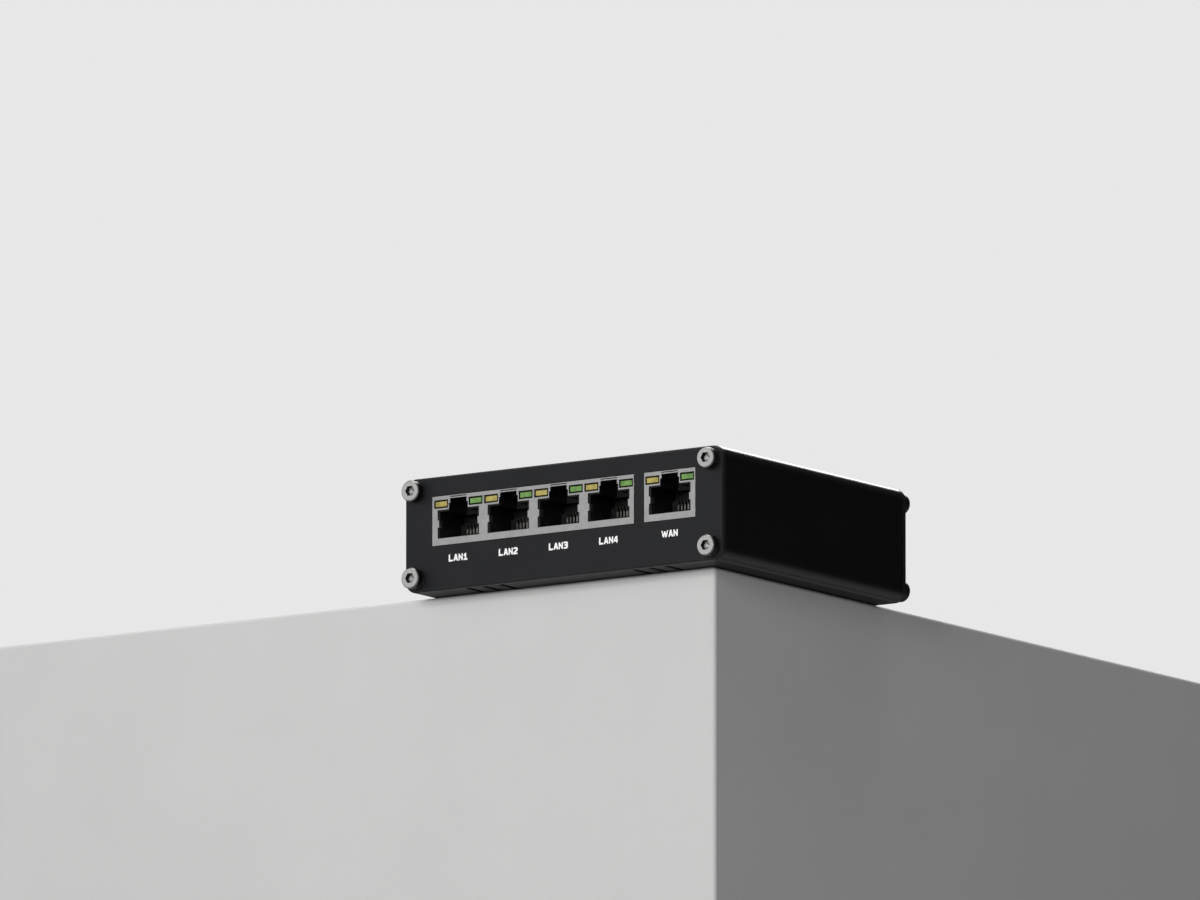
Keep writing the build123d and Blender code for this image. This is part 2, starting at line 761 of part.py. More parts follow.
# ---- USB socket -------------------------------------------------------------------------------
usb_inner_width, usb_inner_height = usb_width - 2 * usb_sheet, usb_height - 2 * usb_sheet
usb_block_depth = 4.6
tongue_reach = 8.6
tongue_level = usb_level + 0.55
strip_thickness, strip_width = 0.25, 1.0
strip_level = tongue_level - usb_tongue_thickness / 2 - strip_thickness / 2
strip_play = 0.05
strip_short_of_tip = 1.0
usb_foot_width = 0.5
usb_foot_top = board_top + 1.0
block_corner_radius = 0.4
tongue_tip_radius = 0.5

with BuildPart() as usb_shell:
    with BuildSketch(rear_face):
        with Locations((-usb_x, usb_level)):
            RectangleRounded(usb_width, usb_height, usb_outer_radius)
            RectangleRounded(
                usb_inner_width, usb_inner_height, usb_inner_radius, mode=Mode.SUBTRACT
            )
    extrude(amount=-usb_depth)
    with BuildSketch(Plane.XY.offset(usb_level)):
        with Locations(*usb_slots):
            Rectangle(usb_sheet, shield_leg_width)
    extrude(amount=board_top - shield_leg_length - usb_level)
save(usb_shell.part, "usb_shell")

with BuildPart() as usb_tongue:
    with BuildSketch(before_rear(usb_depth)):
        with Locations((-usb_x, usb_level)):
            RectangleRounded(
                usb_inner_width - 2 * body_gap, usb_inner_height - 2 * body_gap, block_corner_radius
            )
    extrude(amount=usb_block_depth)
    with BuildSketch(before_rear(usb_depth - usb_block_depth)):
        with Locations((-usb_x, tongue_level)):
            Rectangle(usb_tongue_width, usb_tongue_thickness)
    extrude(amount=tongue_reach)
    tip = usb_tongue.faces().sort_by(Axis.Y)[-1]
    fillet(tip.edges().filter_by(Axis.X), radius=tongue_tip_radius)
    with BuildSketch(before_rear(usb_depth)):
        with Locations(*[(-x, strip_level) for x in usb_contact_columns]):
            Rectangle(strip_width + 2 * strip_play, strip_thickness + strip_play / 2)
    extrude(amount=usb_block_depth, mode=Mode.SUBTRACT)
save(usb_tongue.part, "usb_tongue")

with BuildPart() as usb_contacts:
    strip_start = half_length - usb_depth + usb_block_depth + tongue_reach - strip_short_of_tip
    foot_y = half_length - usb_tail_depth
    with BuildSketch(*wire_planes(usb_contact_columns)):
        with BuildLine() as strip_path:
            FilletPolyline(
                (strip_start, strip_level),
                (foot_y, strip_level),
                (foot_y, usb_foot_top),
                radius=wire_bend_radius,
            )
        trace(strip_path.line, line_width=strip_thickness)
    extrude(amount=strip_width / 2, both=True)
    with BuildSketch(*wire_planes(usb_contact_columns)):
        with BuildLine() as foot_path:
            Line((foot_y, usb_foot_top), (foot_y, board_bottom - tail_below_board))
        trace(foot_path.line, line_width=strip_thickness)
    extrude(amount=usb_foot_width / 2, both=True)
save(usb_contacts.part, "usb_contacts")

# ---- Reset switch: the plunger slides in a bore and is kept in by its flange ---------------------
plunger_tip_depth = panel_thickness + plunger_behind_panel
flange_depth = switch_front_depth + plunger_collar
flange_front = flange_depth + plunger_end_play

with BuildPart() as reset_switch_body:
    with BuildSketch(before_rear(switch_front_depth)):
        with Locations((-reset_x, board_top + body_gap + switch_body_side / 2)):
            Rectangle(switch_body_side, switch_body_side)
    extrude(amount=-switch_body_depth)
    chamfer(reset_switch_body.edges().filter_by(Axis.Y), length=switch_edge_chamfer)
    with BuildSketch(before_rear(switch_front_depth)):
        with Locations((-reset_x, switch_level)):
            Circle(plunger_radius + plunger_play)
    extrude(amount=switch_front_depth - flange_depth, mode=Mode.SUBTRACT)
    with BuildSketch(before_rear(flange_depth)):
        with Locations((-reset_x, switch_level)):
            Circle(plunger_flange_radius + plunger_play)
    extrude(amount=-plunger_flange - plunger_travel - plunger_overrun, mode=Mode.SUBTRACT)
    with BuildSketch(on_board.offset(body_gap)):
        with Locations(*switch_holes):
            Rectangle(switch_leg_width + 2 * switch_leg_play, switch_leg_thickness + 2 * switch_leg_play)
    extrude(amount=switch_leg_slot, mode=Mode.SUBTRACT)
save(reset_switch_body.part, "reset_switch_body")

with BuildPart() as reset_plunger:
    with BuildSketch(before_rear(plunger_tip_depth)):
        with Locations((-reset_x, switch_level)):
            Circle(plunger_radius)
    extrude(amount=plunger_tip_depth - flange_front)
    chamfer(reset_plunger.faces().sort_by(Axis.Y)[-1].edges(), length=plunger_tip_chamfer)
    with BuildSketch(before_rear(flange_front)):
        with Locations((-reset_x, switch_level)):
            Circle(plunger_flange_radius)
    extrude(amount=-plunger_flange)
save(reset_plunger.part, "reset_plunger")

with BuildPart() as reset_switch_legs:
    with BuildSketch(Plane.XY.offset(board_bottom - tail_below_board)):
        with Locations(*switch_holes):
            Rectangle(switch_leg_width, switch_leg_thickness)
    extrude(amount=board_thickness + tail_below_board + body_gap + switch_leg_insert)
save(reset_switch_legs.part, "reset_switch_legs")

# ---- Power light: a domed lens in the rear panel, in a holder on the board ----------------------
lens_start = panel_thickness + 1.9
lens_proud, lens_dome_radius = 0.5, 1.0
lens_collar, lens_collar_thickness = 0.35, 0.6
holder_width, holder_height, holder_depth = 4.6, 6.2, 4.0
holder_edge = 0.4

with BuildPart() as power_light:
    with BuildSketch(before_rear(lens_start)):
        with Locations((-power_light_x, switch_level)):
            Circle(power_lens_radius)
    extrude(amount=lens_start + lens_proud)
    fillet(power_light.faces().sort_by(Axis.Y)[-1].edges(), radius=lens_dome_radius)
    with BuildSketch(before_rear(lens_start)):
        with Locations((-power_light_x, switch_level)):
            Circle(power_lens_radius + lens_collar)
    extrude(amount=-lens_collar_thickness)
save(power_light.part, "power_light")

with BuildPart() as power_light_holder:
    with BuildSketch(before_rear(lens_start + lens_collar_thickness + body_gap)):
        with Locations((-power_light_x, board_top + body_gap + holder_height / 2)):
            Rectangle(holder_width, holder_height)
    extrude(amount=-holder_depth)
    chamfer(power_light_holder.edges().filter_by(Axis.Y), length=holder_edge)
save(power_light_holder.part, "power_light_holder")
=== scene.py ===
"""Looks for the desktop firewall: finishes, printed port names, a plinth, lights and the camera."""

import json
import math

import bmesh
import bpy
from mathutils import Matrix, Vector


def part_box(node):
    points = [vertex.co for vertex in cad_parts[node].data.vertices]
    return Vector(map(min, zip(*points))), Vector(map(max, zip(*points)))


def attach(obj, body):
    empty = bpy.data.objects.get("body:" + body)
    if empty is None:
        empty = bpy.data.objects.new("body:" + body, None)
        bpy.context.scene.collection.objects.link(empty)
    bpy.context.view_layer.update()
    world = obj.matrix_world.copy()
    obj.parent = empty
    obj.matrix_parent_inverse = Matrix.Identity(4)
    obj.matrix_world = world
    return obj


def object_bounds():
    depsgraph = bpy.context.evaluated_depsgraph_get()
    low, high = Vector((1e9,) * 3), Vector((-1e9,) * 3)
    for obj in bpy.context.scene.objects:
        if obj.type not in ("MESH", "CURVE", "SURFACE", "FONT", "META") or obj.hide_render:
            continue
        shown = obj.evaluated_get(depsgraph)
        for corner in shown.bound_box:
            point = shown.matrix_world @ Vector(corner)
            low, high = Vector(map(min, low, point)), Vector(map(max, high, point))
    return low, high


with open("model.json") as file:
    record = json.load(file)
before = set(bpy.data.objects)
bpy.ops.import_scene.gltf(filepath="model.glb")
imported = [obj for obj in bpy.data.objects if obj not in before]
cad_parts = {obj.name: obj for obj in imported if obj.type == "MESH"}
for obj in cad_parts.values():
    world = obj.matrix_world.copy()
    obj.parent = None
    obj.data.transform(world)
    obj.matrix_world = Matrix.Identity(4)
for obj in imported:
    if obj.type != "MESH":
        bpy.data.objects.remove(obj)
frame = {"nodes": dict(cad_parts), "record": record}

cad_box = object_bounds()
MM = 0.001


# ---- Material building -----------------------------------------------------------------------
MIX_FACTOR, MIX_A, MIX_B, MIX_RESULT = 0, 6, 7, 2  # a Mix node's sockets when it mixes colours


class Finish:
    """A procedural material under construction. Its patterns lie in the object's coordinates."""

    def __init__(self, name):
        self.material = bpy.data.materials.new(name)
        self.material.use_nodes = True
        self.tree = self.material.node_tree
        self.surface = self.tree.nodes["Principled BSDF"]
        self.place = self.add("TexCoord").outputs["Object"]

    def add(self, kind, inputs=None, **settings):
        """A new shader node with these properties; inputs holds a value or a link per socket."""
        node = self.tree.nodes.new("ShaderNode" + kind)
        for key, value in settings.items():
            setattr(node, key, value)
        for key, value in (inputs or {}).items():
            self.feed(node.inputs[key], value)
        return node

    def feed(self, socket, value):
        if isinstance(value, bpy.types.NodeSocket):
            self.tree.links.new(value, socket)
        else:
            socket.default_value = value

    def set(self, **values):
        """Feeds inputs of the surface; underscores in a name stand for spaces."""
        for key, value in values.items():
            self.feed(self.surface.inputs[key.replace("_", " ")], value)

    def stretched(self, per_mm):
        """Object coordinates scaled to so many pattern units per millimetre along each axis."""
        scale = tuple(value / MM for value in per_mm)
        return self.add("Mapping", {"Vector": self.place, "Scale": scale}).outputs["Vector"]

    def noise(self, per_mm, detail=3.0, roughness=0.55):
        """Fractal noise; per_mm is one density for all three axes, or one for each."""
        if isinstance(per_mm, (int, float)):
            per_mm = (per_mm,) * 3
        inputs = {
            "Vector": self.stretched(per_mm),
            "Scale": 1.0,
            "Detail": detail,
            "Roughness": roughness,
        }
        return self.add("TexNoise", inputs).outputs["Fac"]

    def between(self, factor, low, high, start=0.0, end=1.0):
        """A value that goes from low to high as factor goes from start to end."""
        inputs = {
            "Value": factor,
            "From Min": start,
            "From Max": end,
            "To Min": low,
            "To Max": high,
        }
        return self.add("MapRange", inputs).outputs["Result"]

    def colours(self, factor, dark, light, start=0.3, end=0.7):
        """A colour that goes from dark to light as factor goes from start to end."""
        ramp = self.add("ValToRGB", {"Fac": factor})
        first, last = ramp.color_ramp.elements
        first.position, first.color = start, (*dark, 1.0)
        last.position, last.color = end, (*light, 1.0)
        return ramp.outputs["Color"]

    def mix(self, factor, a, b):
        node = self.add("Mix", data_type="RGBA")
        for index, value in ((MIX_FACTOR, factor), (MIX_A, a), (MIX_B, b)):
            self.feed(node.inputs[index], (*value, 1.0) if isinstance(value, tuple) else value)
        return node.outputs[MIX_RESULT]

    def math(self, operation, a, b=0.0):
        return self.add("Math", {0: a, 1: b}, operation=operation).outputs["Value"]

    def rounded_normal(self, radius_mm):
        """The surface normal with sharp edges shaded as if eased by this radius."""
        return self.add("Bevel", {"Radius": radius_mm * MM}, samples=4).outputs["Normal"]

    def edge_mask(self, radius_mm):
        """1 along convex and concave edges, 0 on flats."""
        eased = self.rounded_normal(radius_mm)
        true = self.add("NewGeometry").outputs["Normal"]
        dot = self.add("VectorMath", {0: eased, 1: true}, operation="DOT_PRODUCT").outputs["Value"]
        return self.between(self.math("SUBTRACT", 1.0, dot), 0.0, 1.0, start=0.02, end=0.25)

    def edge_wear_and_highlight(self, colour, edge_colour, radius_mm, amount):
        """The colour, taken towards edge_colour by this amount along the edges: edge wear on some
        finishes, a painted highlight on others.
        """
        share = self.math("MULTIPLY", self.edge_mask(radius_mm), amount)
        return self.mix(share, colour, edge_colour)

    def sides(self, start, end):
        """1 on sides, 0 on front and rear faces; fades as |normal Y| goes from start to end."""
        normal = self.add("NewGeometry").outputs["True Normal"]
        along = self.add("SeparateXYZ", {"Vector": normal}).outputs["Y"]
        return self.between(self.math("ABSOLUTE", along), 1.0, 0.0, start, end)

    def flatness(self):
        """1 on faces square to an axis, 0 on rounded corners."""
        normal = self.add("NewGeometry").outputs["True Normal"]
        size = self.add("VectorMath", {0: normal}, operation="ABSOLUTE").outputs["Vector"]
        axes = self.add("SeparateXYZ", {"Vector": size}).outputs
        largest = self.math("MAXIMUM", axes["X"], self.math("MAXIMUM", axes["Y"], axes["Z"]))
        return self.between(largest, 0.0, 1.0, start=0.99, end=0.999)

    def recess(self, reach_mm, start, end):
        """1 deep inside pits and corners, 0 in the open."""
        distance = {"Distance": reach_mm * MM}
        occlusion = self.add("AmbientOcclusion", distance, samples=6).outputs["AO"]
        return self.between(occlusion, 1.0, 0.0, start, end)

    def bump(self, height, strength, depth_mm, normal=None):
        inputs = {"Height": height, "Strength": strength, "Distance": depth_mm * MM}
        if normal is not None:
            inputs["Normal"] = normal
        return self.add("Bump", inputs).outputs["Normal"]


# ---- Finishes --------------------------------------------------------------------------------
def anodised_extrusion():
    """Black anodised sleeve: die lines from front to back, dull flats and satin corners."""
    f = Finish("anodised_extrusion")
    die_lines = f.noise((9.0, 0.02, 9.0), detail=4.0, roughness=0.7)
    grain = f.noise(14.0, detail=2.0)
    clouds = f.noise(0.05, detail=3.0)
    flat = f.flatness()
    black = f.colours(clouds, (0.0042, 0.0044, 0.005), (0.0062, 0.0065, 0.0072), end=0.75)
    satin = f.math("ADD", f.between(die_lines, 0.2, 0.3), f.between(clouds, -0.02, 0.04))
    lined = f.bump(die_lines, strength=0.16, depth_mm=0.02, normal=f.rounded_normal(0.12))
    f.set(
        # lighter edges: partly edge wear, partly a painted highlight along the sleeve's edges
        Base_Color=f.edge_wear_and_highlight(black, (0.03, 0.03, 0.032), radius_mm=0.25, amount=0.35),
        Metallic=0.15,
        Roughness=f.math("ADD", satin, f.between(flat, 0.0, 0.25)),
        Specular_IOR_Level=f.between(flat, 0.3, 0.12),
        Normal=f.bump(grain, strength=0.12, depth_mm=0.02, normal=lined),
    )
    return f.material


def anodised_panel():
    """Bead-blasted and black anodised sheet, a little paler than the sleeve."""
    f = Finish("anodised_panel")
    blast = f.noise(11.0, detail=4.0, roughness=0.6)
    clouds = f.noise(0.08, detail=4.0)
    black = f.colours(clouds, (0.008, 0.0086, 0.0104), (0.0108, 0.0115, 0.0136), end=0.75)
    f.set(
        Base_Color=f.edge_wear_and_highlight(black, (0.09, 0.09, 0.095), radius_mm=0.2, amount=0.5),
        Metallic=0.15,
        Roughness=f.math("ADD", f.between(blast, 0.46, 0.6), f.between(clouds, -0.03, 0.03)),
        Specular_IOR_Level=0.3,
        Normal=f.bump(blast, strength=0.22, depth_mm=0.025, normal=f.rounded_normal(0.1)),
    )
    return f.material


def screw_steel():
    """Speckled steel: a bright face to the head with a painted highlight along its edges, painted
    shade on the sides, and painted shade with a rougher finish in the hex socket.
    """
    f = Finish("screw_steel")
    speckle = f.noise(7.0, detail=3.0, roughness=0.7)
    stain = f.noise(1.2, detail=3.0)
    ground = f.colours(speckle, (0.3, 0.3, 0.297), (0.56, 0.56, 0.55), end=0.6)
    # the lighter edges round the face are a painted highlight
    bright = f.edge_wear_and_highlight(ground, (0.85, 0.85, 0.84), radius_mm=0.08, amount=0.4)
    # the dark side colour is painted shade
    dark = f.colours(stain, (0.018, 0.018, 0.019), (0.035, 0.035, 0.036))
    # deep in the hex socket the face colour is taken to grey: painted shade; the same mask makes it
    # rougher
    socket_shade = f.recess(reach_mm=1.6, start=0.55, end=0.9)
    face = f.mix(socket_shade, bright, (0.2, 0.2, 0.2))
    polish = f.between(speckle, 0.44, 0.26, start=0.3, end=0.7)
    sheen = f.math("ADD", polish, f.between(stain, -0.04, 0.06))
    f.set(
        # the sides of the head take the dark colour: painted shade
        Base_Color=f.mix(f.sides(start=0.6, end=0.85), face, dark),
        Metallic=0.9,
        Roughness=f.between(socket_shade, sheen, 0.65),
        Normal=f.bump(speckle, strength=0.18, depth_mm=0.03, normal=f.rounded_normal(0.05)),
    )
    return f.material


def plated_sheet():
    """Nickel-plated strip with fine rolling lines across the part and a few handling marks."""
    f = Finish("plated_sheet")
    rolling = f.noise((0.35, 0.35, 16.0), detail=4.0, roughness=0.65)
    stain = f.noise(0.55, detail=4.0, roughness=0.6)
    nickel = f.colours(stain, (0.352, 0.352, 0.354), (0.432, 0.432, 0.43), start=0.25, end=0.75)
    f.set(
        Base_Color=f.edge_wear_and_highlight(nickel, (0.82, 0.82, 0.81), radius_mm=0.05, amount=0.4),
        Metallic=1.0,
        Roughness=f.math("ADD", f.between(rolling, 0.34, 0.5), f.between(stain, -0.03, 0.05)),
        Normal=f.bump(rolling, strength=0.1, depth_mm=0.02, normal=f.rounded_normal(0.04)),
    )
    return f.material


def moulded_plastic(name, dark, light, roughness=0.48, grain_per_mm=9.0, wear=0.25):
    """Moulded plastic with a spark-eroded grain and slightly lighter edges."""
    f = Finish(name)
    grain = f.noise(grain_per_mm, detail=3.0)
    clouds = f.noise(0.3, detail=2.0)
    rubbed = tuple(min(1.0, 2.2 * channel + 0.01) for channel in light)
    f.set(
        Base_Color=f.edge_wear_and_highlight(f.colours(clouds, dark, light), rubbed, radius_mm=0.06, amount=wear),
        Roughness=f.between(grain, roughness - 0.06, roughness + 0.08),
        Specular_IOR_Level=0.25,
        Normal=f.bump(grain, strength=0.15, depth_mm=0.02, normal=f.rounded_normal(0.05)),
    )
    return f.material


def gold_plate():
    """A thin flash of gold over nickel, mottled, with faint draw lines along the wire."""
    f = Finish("gold_plate")
    mottle = f.noise(1.6, detail=3.0)
    draw = f.noise((20.0, 1.0, 1.0), detail=2.0)
    gold = f.colours(mottle, (0.29, 0.28, 0.25), (0.39, 0.375, 0.335), start=0.35, end=0.65)
    f.set(
        Base_Color=gold,
        Metallic=1.0,
        Roughness=f.between(draw, 0.26, 0.42),
        Normal=f.bump(draw, strength=0.08, depth_mm=0.01, normal=f.rounded_normal(0.05)),
    )
    return f.material


def tinned_wire():
    """Dull tin plating with a faint frost."""
    f = Finish("tinned_wire")
    frost = f.noise(5.0, detail=4.0)
    f.set(
        Base_Color=f.colours(frost, (0.56, 0.56, 0.55), (0.74, 0.74, 0.73)),
        Metallic=1.0,
        Roughness=f.between(frost, 0.3, 0.5),
        Normal=f.bump(frost, strength=0.15, depth_mm=0.02, normal=f.rounded_normal(0.04)),
    )
    return f.material


def light_lens(name, deep, bright, painted_glow):
    """A tinted lens: painted shade on its sides, and a soft uneven light by emission: painted
    light.
    """
    f = Finish(name)
    swirl = f.noise(0.5, detail=1.5)
    fine = f.noise(12.0, detail=2.0)
    # the sides of the lens take a tenth of its tint: painted shade
    shade = tuple(0.1 * channel for channel in deep)
    tint = f.mix(f.sides(start=0.8, end=0.95), f.colours(swirl, deep, bright, end=0.65), shade)
    level = f.between(swirl, 0.6, 1.0, start=0.3, end=0.7)
    f.set(
        Base_Color=tint,
        Roughness=f.between(fine, 0.3, 0.42),
        Specular_IOR_Level=0.3,
        # the lens glows by emission: painted light
        Emission_Color=tint,
        Emission_Strength=f.math("MULTIPLY", level, painted_glow),
        Normal=f.bump(fine, strength=0.08, depth_mm=0.01, normal=f.rounded_normal(0.06)),
    )
    return f.material


def solder_mask():
    """A green board: tracks show as raised, lighter lines under the mask, and vias as bare dots."""
    f = Finish("solder_mask")
    layout = {
        "Vector": f.stretched((0.55,) * 3),
        "Scale": 1.0,
        "Mortar Size": 0.09,
        "Brick Width": 0.9,
        "Row Height": 0.35,
        "Color1": (0, 0, 0, 1),
        "Color2": (0.15, 0.15, 0.15, 1),
        "Mortar": (1, 1, 1, 1),
    }
    tracks = f.add("TexBrick", layout).outputs["Color"]
    level = f.add("RGBToBW", {"Color": tracks}).outputs["Val"]
    grid = {"Vector": f.stretched((0.45,) * 3), "Scale": 1.0, "Randomness": 0.8}
    vias = f.between(f.add("TexVoronoi", grid).outputs["Distance"], 1.0, 0.0, start=0.08, end=0.1)
    mottle = f.noise(0.4, detail=3.0)
    green = f.colours(mottle, (0.008, 0.045, 0.02), (0.012, 0.065, 0.03))
    tracked = f.mix(level, green, (0.02, 0.11, 0.045))
    f.set(
        Base_Color=f.mix(vias, tracked, (0.5, 0.42, 0.2)),
        Roughness=f.between(mottle, 0.25, 0.4),
        Normal=f.bump(level, strength=0.25, depth_mm=0.03),
    )
    return f.material


def fired_ceramic(name, dark, light):
    """Speckled ceramic or ferrite."""
    f = Finish(name)
    speckle = f.noise(8.0, detail=3.0)
    f.set(
        Base_Color=f.colours(speckle, dark, light, start=0.35, end=0.65),
        Roughness=f.between(speckle, 0.35, 0.55),
        Normal=f.bump(speckle, strength=0.2, depth_mm=0.02, normal=f.rounded_normal(0.08)),
    )
    return f.material


def drawn_can(name):
    """A drawn metal can with circumferential haze."""
    f = Finish(name)
    haze = f.noise((0.6, 0.6, 7.0), detail=3.0)
    f.set(
        Base_Color=f.colours(haze, (0.6, 0.6, 0.61), (0.8, 0.8, 0.81)),
        Metallic=1.0,
        Roughness=f.between(haze, 0.22, 0.38),
        Normal=f.bump(haze, strength=0.1, depth_mm=0.02, normal=f.rounded_normal(0.1)),
    )
    return f.material


def print_ink():
    """White screen-printed ink: slightly thick, slightly uneven."""
    f = Finish("print_ink")
    cover = f.noise(5.0, detail=3.0)
    f.set(
        Base_Color=f.colours(cover, (0.8, 0.8, 0.8), (0.9, 0.9, 0.9), start=0.25, end=0.6),
        Roughness=f.between(cover, 0.5, 0.65),
        # a faint glow by emission brightens the ink: painted light
        Emission_Color=(0.9, 0.9, 0.9, 1.0),
        Emission_Strength=0.2,
        Normal=f.bump(cover, strength=0.2, depth_mm=0.01),
    )
    return f.material


# One finish for each material slot of the record.
FINISHES = {
    "black_anodised": anodised_extrusion(),
    "black_panel": anodised_panel(),
    "screw_steel": screw_steel(),
    "plated_sheet": plated_sheet(),
    "black_plastic": moulded_plastic(
        "black_plastic", (0.0025, 0.0025, 0.003), (0.004, 0.004, 0.0045)
    ),
    "contact_gold": gold_plate(),
    "tinned_wire": tinned_wire(),
    "yellow_lens": light_lens("yellow_lens", (0.3, 0.245, 0.055), (0.45, 0.39, 0.115), painted_glow=0.15),
    "green_lens": light_lens("green_lens", (0.09, 0.2, 0.05), (0.175, 0.34, 0.09), painted_glow=0.15),
    "board": solder_mask(),
    "chip_plastic": moulded_plastic(
        "chip_epoxy", (0.018, 0.018, 0.019), (0.028, 0.028, 0.03),
        roughness=0.6, grain_per_mm=6.0, wear=0.15,
    ),
    "crystal_can": drawn_can("crystal_can"),
    "capacitor_can": drawn_can("capacitor_can"),
    "ferrite": fired_ceramic("ferrite", (0.05, 0.05, 0.05), (0.09, 0.09, 0.09)),
    "ceramic_tan": fired_ceramic("ceramic_tan", (0.36, 0.25, 0.16), (0.5, 0.37, 0.25)),
    "resistor_black": fired_ceramic("resistor_film", (0.02, 0.02, 0.025), (0.04, 0.04, 0.05)),
    "tongue_plastic": moulded_plastic(
        "tongue_plastic", (0.6, 0.6, 0.58), (0.7, 0.7, 0.68), wear=0.0
    ),
    "power_lens": light_lens("power_lens", (0.2, 0.4, 0.15), (0.4, 0.7, 0.3), painted_glow=0.1),
}

for part in frame["record"]["subparts"]:
    mesh = frame["nodes"][part["node"]].data
    mesh.materials.clear()
    mesh.materials.append(FINISHES[part["material_slot"]])


def new_object(name, bm, material):
    """Turns the bmesh into an object of the scene, in one material."""
    mesh = bpy.data.meshes.new(name)
    bm.to_mesh(mesh)
    bm.free()
    mesh.materials.append(material)
    made = bpy.data.objects.new(name, mesh)
    bpy.context.scene.collection.objects.link(made)
    return made


# ---- Printed port names ----------------------------------------------------------------------
INK = print_ink()
CAP_HEIGHT = 1.85 * MM
GLYPH_WIDTH = 0.96 * MM  # between the middles of a letter's outer strokes
STROKE = 0.44 * MM
LETTER_GAP = 0.13 * MM
INK_THICKNESS = 0.02 * MM
STROKE_STEP = 0.15  # each further stroke of a letter is lower by this share, so no tops coincide
NAME_LEVEL = 8.15 * MM  # the middle of every name, above the underside

# Each glyph is one or more strokes through points on a unit square.
GLYPHS = {
    "1": [[(0.5, 1.0), (0.5, 0.0)], [(0.15, 0.75), (0.36, 0.92)], [(0.1, 0.0), (0.9, 0.0)]],
    "2": [[(0.1, 1.0), (0.8, 1.0), (1.0, 0.85), (1.0, 0.62), (0.0, 0.15), (0.0, 0.0), (0.9, 0.0)]],
    "3": [[(0.1, 1.0), (0.85, 1.0), (1.0, 0.87), (1.0, 0.65), (0.82, 0.53), (0.4, 0.53)],
          [(0.82, 0.53), (1.0, 0.4), (1.0, 0.13), (0.85, 0.0), (0.1, 0.0)]],
    "4": [[(0.8, 0.0), (0.8, 1.0), (0.55, 1.0), (0.0, 0.4), (0.0, 0.28), (0.95, 0.28)]],
    "A": [[(0.0, 0.0), (0.42, 1.0), (0.58, 1.0), (1.0, 0.0)], [(0.3, 0.26), (0.7, 0.26)]],
    "E": [[(0.9, 1.0), (0.0, 1.0), (0.0, 0.0), (0.9, 0.0)], [(0.2, 0.52), (0.7, 0.52)]],
    "L": [[(0.0, 1.0), (0.0, 0.0), (0.9, 0.0)]],
    "N": [[(0.0, 0.0), (0.0, 1.0)], [(0.1, 0.88), (0.9, 0.12)], [(1.0, 0.0), (1.0, 1.0)]],
    "P": [[(0.0, 0.0), (0.0, 1.0), (0.8, 1.0), (1.0, 0.86), (1.0, 0.58), (0.8, 0.44), (0.2, 0.44)]],
    "R": [[(0.0, 0.0), (0.0, 1.0), (0.8, 1.0), (1.0, 0.86), (1.0, 0.6), (0.8, 0.47), (0.2, 0.47)],
          [(0.65, 0.4), (0.95, 0.06)]],
    "S": [[(0.9, 1.0), (0.15, 1.0), (0.0, 0.87), (0.0, 0.65), (0.15, 0.53), (0.85, 0.47),
           (1.0, 0.35), (1.0, 0.13), (0.85, 0.0), (0.1, 0.0)]],
    "T": [[(0.0, 1.0), (1.0, 1.0)], [(0.5, 0.8), (0.5, 0.0)]],
    "W": [[(0.0, 1.0), (0.21, 0.0), (0.29, 0.0), (0.46, 0.85), (0.54, 0.85), (0.71, 0.0),
           (0.79, 0.0), (1.0, 1.0)]],
}
# Where a letter differs from the rest: its width and its stroke, as shares of the two above.
WIDE = {"W": 1.7}
THIN = {"4": 0.85, "A": 0.9, "N": 0.85, "W": 0.82}


def ribbon(bm, points, width, lift):
    """A flat stroke through 2D points: mitred corners, square ends half a width beyond them."""
    points[0] += (points[0] - points[1]).normalized() * width / 2
    points[-1] += (points[-1] - points[-2]).normalized() * width / 2
    sides = []
    for index, point in enumerate(points):
        before = (point - points[index - 1]).normalized() if index else None
        after = (points[index + 1] - point).normalized() if index + 1 < len(points) else None
        first, last = before or after, after or before
        normal = Vector((-first.y - last.y, first.x + last.x)).normalized()
        reach = width / 2 / normal.dot(Vector((-first.y, first.x)))
        sides.append((point + normal * reach, point - normal * reach))
    low, high = (
        [[bm.verts.new((v.x, v.y, height)) for v in pair] for pair in sides]
        for height in (0.0, lift)
    )
    for index in range(len(points) - 1):
        for layer, order in ((low, (0, 1, 3, 2)), (high, (0, 2, 3, 1))):
            corners = layer[index] + layer[index + 1]
            bm.faces.new([corners[i] for i in order])
        for side, order in ((0, (0, 1, 3, 2)), (1, (0, 2, 3, 1))):
            corners = [layer[end][side] for end in (index, index + 1) for layer in (low, high)]
            bm.faces.new([corners[i] for i in order])
    for end in (0, -1):
        bm.faces.new([low[end][0], low[end][1], high[end][1], high[end][0]])


def printed_word(name, word, centre, facing):
    """A printed word centred on a point of a panel that faces FRONT or REAR."""
    widths = [GLYPH_WIDTH * WIDE.get(letter, 1.0) for letter in word]
    total = sum(widths) + (LETTER_GAP + STROKE) * (len(word) - 1)
    foot = -CAP_HEIGHT / 2 + STROKE / 2
    bm = bmesh.new()
    cursor = -total / 2
    for letter, width in zip(word, widths):
        for number, stroke in enumerate(GLYPHS[letter]):
            points = [
                Vector((cursor + x * width, foot + y * (CAP_HEIGHT - STROKE))) for x, y in stroke
            ]
            lift = INK_THICKNESS * (1 - STROKE_STEP * number)
            ribbon(bm, points, STROKE * THIN.get(letter, 1.0), lift)
        cursor += width + LETTER_GAP + STROKE
    for vert in bm.verts:
        x, up, out = vert.co
        vert.co = (centre.x - x * facing, centre.y + out * facing, centre.z + up)
    bmesh.ops.recalc_face_normals(bm, faces=bm.faces)
    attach(new_object(name, bm, INK), "root")


FRONT, REAR = -1, 1  # the way a panel faces along Y
front_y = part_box("front_panel")[0].y
panel_y = {FRONT: front_y, REAR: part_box("rear_panel")[1].y}

